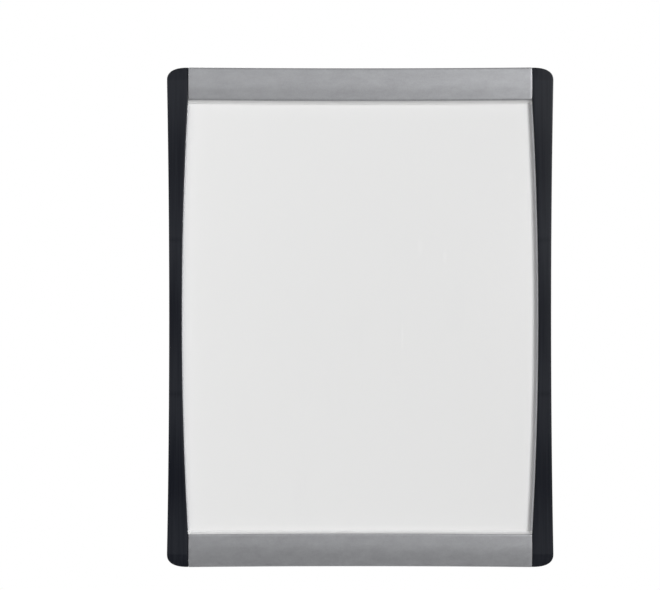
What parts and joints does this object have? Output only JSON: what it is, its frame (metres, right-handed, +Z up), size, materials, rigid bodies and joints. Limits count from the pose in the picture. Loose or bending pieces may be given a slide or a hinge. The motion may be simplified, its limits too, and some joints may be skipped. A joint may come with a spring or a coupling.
{
  "type": "framed magnetic whiteboard",
  "caption": "Small portrait dry-wipe board: a white lacquered steel sheet in a shallow frame with grey end rails and black side rails whose inner edges are arched.",
  "frame": {"origin": "middle of the flat back, on the plane that lies on the wall or steel door", "axes": "+X to the right seen from the front, +Y out of the back towards the wall, +Z up; the writing face looks along -Y"},
  "size_m": [0.216, 0.0119, 0.2794],
  "materials": {
    "black_plastic": "satin black moulding, faint lengthwise flow lines",
    "metallic_grey_plastic": "silver-grey metallic paint on a moulding, fine sparkle, satin",
    "light_grey_plastic": "pale grey moulding, nearly white at its ends, semi-gloss",
    "white_lacquered_steel": "glossy white dry-wipe lacquer on steel",
    "fibreboard": "raw brown fibreboard",
    "back_plastic": "dark grey textured moulding",
    "magnet_ferrite": "bare dark ferrite",
    "screw_steel": "zinc-plated"
  },
  "bodies": {
    "root": {"left_rail": "black_plastic", "right_rail": "black_plastic", "top_rail": "metallic_grey_plastic", "bottom_rail": "metallic_grey_plastic", "inner_bezel": "light_grey_plastic", "writing_sheet": "white_lacquered_steel", "core_board": "fibreboard", "rear_panel": "back_plastic", "magnet_top_left": "magnet_ferrite", "magnet_top_right": "magnet_ferrite", "magnet_bottom_left": "magnet_ferrite", "magnet_bottom_right": "magnet_ferrite", "screw_left_top": "screw_steel", "screw_left_upper": "screw_steel", "screw_left_lower": "screw_steel", "screw_left_bottom": "screw_steel", "screw_right_top": "screw_steel", "screw_right_upper": "screw_steel", "screw_right_lower": "screw_steel", "screw_right_bottom": "screw_steel"}
  },
  "joints": []
}
